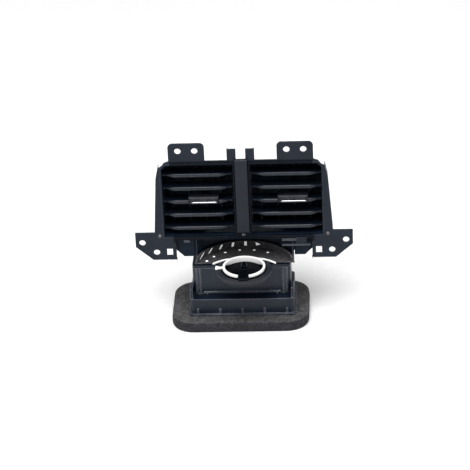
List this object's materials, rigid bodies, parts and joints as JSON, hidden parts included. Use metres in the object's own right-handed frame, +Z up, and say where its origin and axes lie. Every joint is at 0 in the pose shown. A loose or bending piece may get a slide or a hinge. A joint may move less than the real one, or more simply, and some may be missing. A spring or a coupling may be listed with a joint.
{
  "type": "car rear air vent",
  "caption": "Car rear air vent: twin outlets with tilting slats and sliding knobs in an eared face frame, on a duct with a half-round dial and a foam seal foot.",
  "frame": {"origin": "middle of the part's bounding box in X and Y, on the underside of the foam seal", "axes": "+X to the right along the face, +Y to the back, away from the face, +Z up"},
  "size_m": [0.19, 0.09, 0.1692],
  "materials": {
    "black_plastic": "fine grain",
    "slat_plastic": "satin",
    "bar_plastic": "satin",
    "knob_plastic": "grained",
    "knob_chrome": "polished",
    "dial_plastic": "grained",
    "white_print": "printed",
    "white_plastic": "semi-gloss",
    "grey_plastic": "satin",
    "dark_steel": "zinc plated",
    "seal_foam": "open cell foam, matt"
  },
  "bodies": {
    "vent": {"foam_seal": "seal_foam", "duct_front": "black_plastic", "duct_rear": "black_plastic", "dial_deck": "black_plastic", "spring_ring": "white_plastic", "retaining_post": "black_plastic", "face_frame": "black_plastic", "vent_housing": "black_plastic", "centre_bar": "bar_plastic", "frame_screws": "dark_steel", "lower_clips": "grey_plastic"},
    "dial": {"dial": "dial_plastic", "dial_scale": "white_print"},
    "left_slat_1": {"left_slat_1": "slat_plastic"},
    "left_slat_2": {"left_slat_2": "slat_plastic"},
    "left_slat_3": {"left_slat_3": "slat_plastic"},
    "left_slat_4": {"left_slat_4": "slat_plastic"},
    "left_slat_5": {"left_slat_5": "slat_plastic"},
    "left_slat_link": {"left_slat_link": "black_plastic"},
    "left_knob": {"left_knob": "knob_plastic", "left_knob_trim": "knob_chrome"},
    "left_vane_1": {"left_vane_1": "slat_plastic"},
    "left_vane_2": {"left_vane_2": "slat_plastic"},
    "left_vane_3": {"left_vane_3": "slat_plastic"},
    "left_vane_4": {"left_vane_4": "slat_plastic"},
    "left_vane_link": {"left_vane_link": "black_plastic"},
    "right_slat_1": {"right_slat_1": "slat_plastic"},
    "right_slat_2": {"right_slat_2": "slat_plastic"},
    "right_slat_3": {"right_slat_3": "slat_plastic"},
    "right_slat_4": {"right_slat_4": "slat_plastic"},
    "right_slat_5": {"right_slat_5": "slat_plastic"},
    "right_slat_link": {"right_slat_link": "black_plastic"},
    "right_knob": {"right_knob": "knob_plastic", "right_knob_trim": "knob_chrome"},
    "right_vane_1": {"right_vane_1": "slat_plastic"},
    "right_vane_2": {"right_vane_2": "slat_plastic"},
    "right_vane_3": {"right_vane_3": "slat_plastic"},
    "right_vane_4": {"right_vane_4": "slat_plastic"},
    "right_vane_link": {"right_vane_link": "black_plastic"}
  },
  "joints": [
    {"name": "dial_turn", "type": "hinge", "parent": "vent", "child": "dial", "pos_m": [0, -0.021, 0.056], "axis": [0, 0, 1], "range_deg": [-90, 90]},
    {"name": "left_tilt_1", "type": "hinge", "parent": "vent", "child": "left_slat_1", "pos_m": [-0.03865, 0.009, 0.1376], "axis": [1, 0, 0], "range_deg": [-18, 18]},
    {"name": "left_tilt_2", "type": "hinge", "parent": "vent", "child": "left_slat_2", "pos_m": [-0.03865, 0.009, 0.1248], "axis": [1, 0, 0], "range_deg": [-18, 18]},
    {"name": "left_tilt", "type": "hinge", "parent": "vent", "child": "left_slat_3", "pos_m": [-0.03865, 0.009, 0.112], "axis": [1, 0, 0], "range_deg": [-18, 18]},
    {"name": "left_tilt_4", "type": "hinge", "parent": "vent", "child": "left_slat_4", "pos_m": [-0.03865, 0.009, 0.0992], "axis": [1, 0, 0], "range_deg": [-18, 18]},
    {"name": "left_tilt_5", "type": "hinge", "parent": "vent", "child": "left_slat_5", "pos_m": [-0.03865, 0.009, 0.0864], "axis": [1, 0, 0], "range_deg": [-18, 18]},
    {"name": "left_slat_link_pivot", "type": "hinge", "parent": "left_slat_3", "child": "left_slat_link", "pos_m": [-0.00735, 0.0135, 0.112], "axis": [1, 0, 0], "range_deg": [-18, 18]},
    {"name": "left_knob_slide", "type": "slide", "parent": "left_slat_3", "child": "left_knob", "axis": [1, 0, 0], "range_m": [-0.008, 0.008]},
    {"name": "left_swing_1", "type": "hinge", "parent": "vent", "child": "left_vane_1", "pos_m": [-0.06195, 0.0323, 0.1], "axis": [0, 0, 1], "range_deg": [-35.2, 35.2]},
    {"name": "left_swing_2", "type": "hinge", "parent": "vent", "child": "left_vane_2", "pos_m": [-0.04775, 0.0323, 0.1], "axis": [0, 0, 1], "range_deg": [-35.2, 35.2]},
    {"name": "left_swing_3", "type": "hinge", "parent": "vent", "child": "left_vane_3", "pos_m": [-0.03355, 0.0323, 0.1], "axis": [0, 0, 1], "range_deg": [-35.2, 35.2]},
    {"name": "left_swing_4", "type": "hinge", "parent": "vent", "child": "left_vane_4", "pos_m": [-0.01935, 0.0323, 0.1], "axis": [0, 0, 1], "range_deg": [-35.2, 35.2]},
    {"name": "left_vane_link_pivot", "type": "hinge", "parent": "left_vane_3", "child": "left_vane_link", "pos_m": [-0.03355, 0.0383, 0.082], "axis": [0, 0, 1], "range_deg": [-35.2, 35.2]},
    {"name": "right_tilt_1", "type": "hinge", "parent": "vent", "child": "right_slat_1", "pos_m": [0.03865, 0.009, 0.1376], "axis": [1, 0, 0], "range_deg": [-18, 18]},
    {"name": "right_tilt_2", "type": "hinge", "parent": "vent", "child": "right_slat_2", "pos_m": [0.03865, 0.009, 0.1248], "axis": [1, 0, 0], "range_deg": [-18, 18]},
    {"name": "right_tilt", "type": "hinge", "parent": "vent", "child": "right_slat_3", "pos_m": [0.03865, 0.009, 0.112], "axis": [1, 0, 0], "range_deg": [-18, 18]},
    {"name": "right_tilt_4", "type": "hinge", "parent": "vent", "child": "right_slat_4", "pos_m": [0.03865, 0.009, 0.0992], "axis": [1, 0, 0], "range_deg": [-18, 18]},
    {"name": "right_tilt_5", "type": "hinge", "parent": "vent", "child": "right_slat_5", "pos_m": [0.03865, 0.009, 0.0864], "axis": [1, 0, 0], "range_deg": [-18, 18]},
    {"name": "right_slat_link_pivot", "type": "hinge", "parent": "right_slat_3", "child": "right_slat_link", "pos_m": [0.00735, 0.0135, 0.112], "axis": [1, 0, 0], "range_deg": [-18, 18]},
    {"name": "right_knob_slide", "type": "slide", "parent": "right_slat_3", "child": "right_knob", "axis": [1, 0, 0], "range_m": [-0.008, 0.008]},
    {"name": "right_swing_1", "type": "hinge", "parent": "vent", "child": "right_vane_1", "pos_m": [0.01535, 0.0323, 0.1], "axis": [0, 0, 1], "range_deg": [-35.2, 35.2]},
    {"name": "right_swing_2", "type": "hinge", "parent": "vent", "child": "right_vane_2", "pos_m": [0.02955, 0.0323, 0.1], "axis": [0, 0, 1], "range_deg": [-35.2, 35.2]},
    {"name": "right_swing_3", "type": "hinge", "parent": "vent", "child": "right_vane_3", "pos_m": [0.04375, 0.0323, 0.1], "axis": [0, 0, 1], "range_deg": [-35.2, 35.2]},
    {"name": "right_swing_4", "type": "hinge", "parent": "vent", "child": "right_vane_4", "pos_m": [0.05795, 0.0323, 0.1], "axis": [0, 0, 1], "range_deg": [-35.2, 35.2]},
    {"name": "right_vane_link_pivot", "type": "hinge", "parent": "right_vane_3", "child": "right_vane_link", "pos_m": [0.04375, 0.0383, 0.082], "axis": [0, 0, 1], "range_deg": [-35.2, 35.2]}
  ],
  "couplings": [
    {"joint": "left_tilt_1", "follows": "left_tilt", "ratio": 1},
    {"joint": "left_tilt_2", "follows": "left_tilt", "ratio": 1},
    {"joint": "left_tilt_4", "follows": "left_tilt", "ratio": 1},
    {"joint": "left_tilt_5", "follows": "left_tilt", "ratio": 1},
    {"joint": "left_slat_link_pivot", "follows": "left_tilt", "ratio": -1},
    {"joint": "left_swing_1", "follows": "left_knob_slide", "rad_per_m": 76.7},
    {"joint": "left_swing_2", "follows": "left_knob_slide", "rad_per_m": 76.7},
    {"joint": "left_swing_3", "follows": "left_knob_slide", "rad_per_m": 76.7},
    {"joint": "left_swing_4", "follows": "left_knob_slide", "rad_per_m": 76.7},
    {"joint": "left_vane_link_pivot", "follows": "left_knob_slide", "rad_per_m": -76.7},
    {"joint": "right_tilt_1", "follows": "right_tilt", "ratio": 1},
    {"joint": "right_tilt_2", "follows": "right_tilt", "ratio": 1},
    {"joint": "right_tilt_4", "follows": "right_tilt", "ratio": 1},
    {"joint": "right_tilt_5", "follows": "right_tilt", "ratio": 1},
    {"joint": "right_slat_link_pivot", "follows": "right_tilt", "ratio": -1},
    {"joint": "right_swing_1", "follows": "right_knob_slide", "rad_per_m": 76.7},
    {"joint": "right_swing_2", "follows": "right_knob_slide", "rad_per_m": 76.7},
    {"joint": "right_swing_3", "follows": "right_knob_slide", "rad_per_m": 76.7},
    {"joint": "right_swing_4", "follows": "right_knob_slide", "rad_per_m": 76.7},
    {"joint": "right_vane_link_pivot", "follows": "right_knob_slide", "rad_per_m": -76.7}
  ]
}
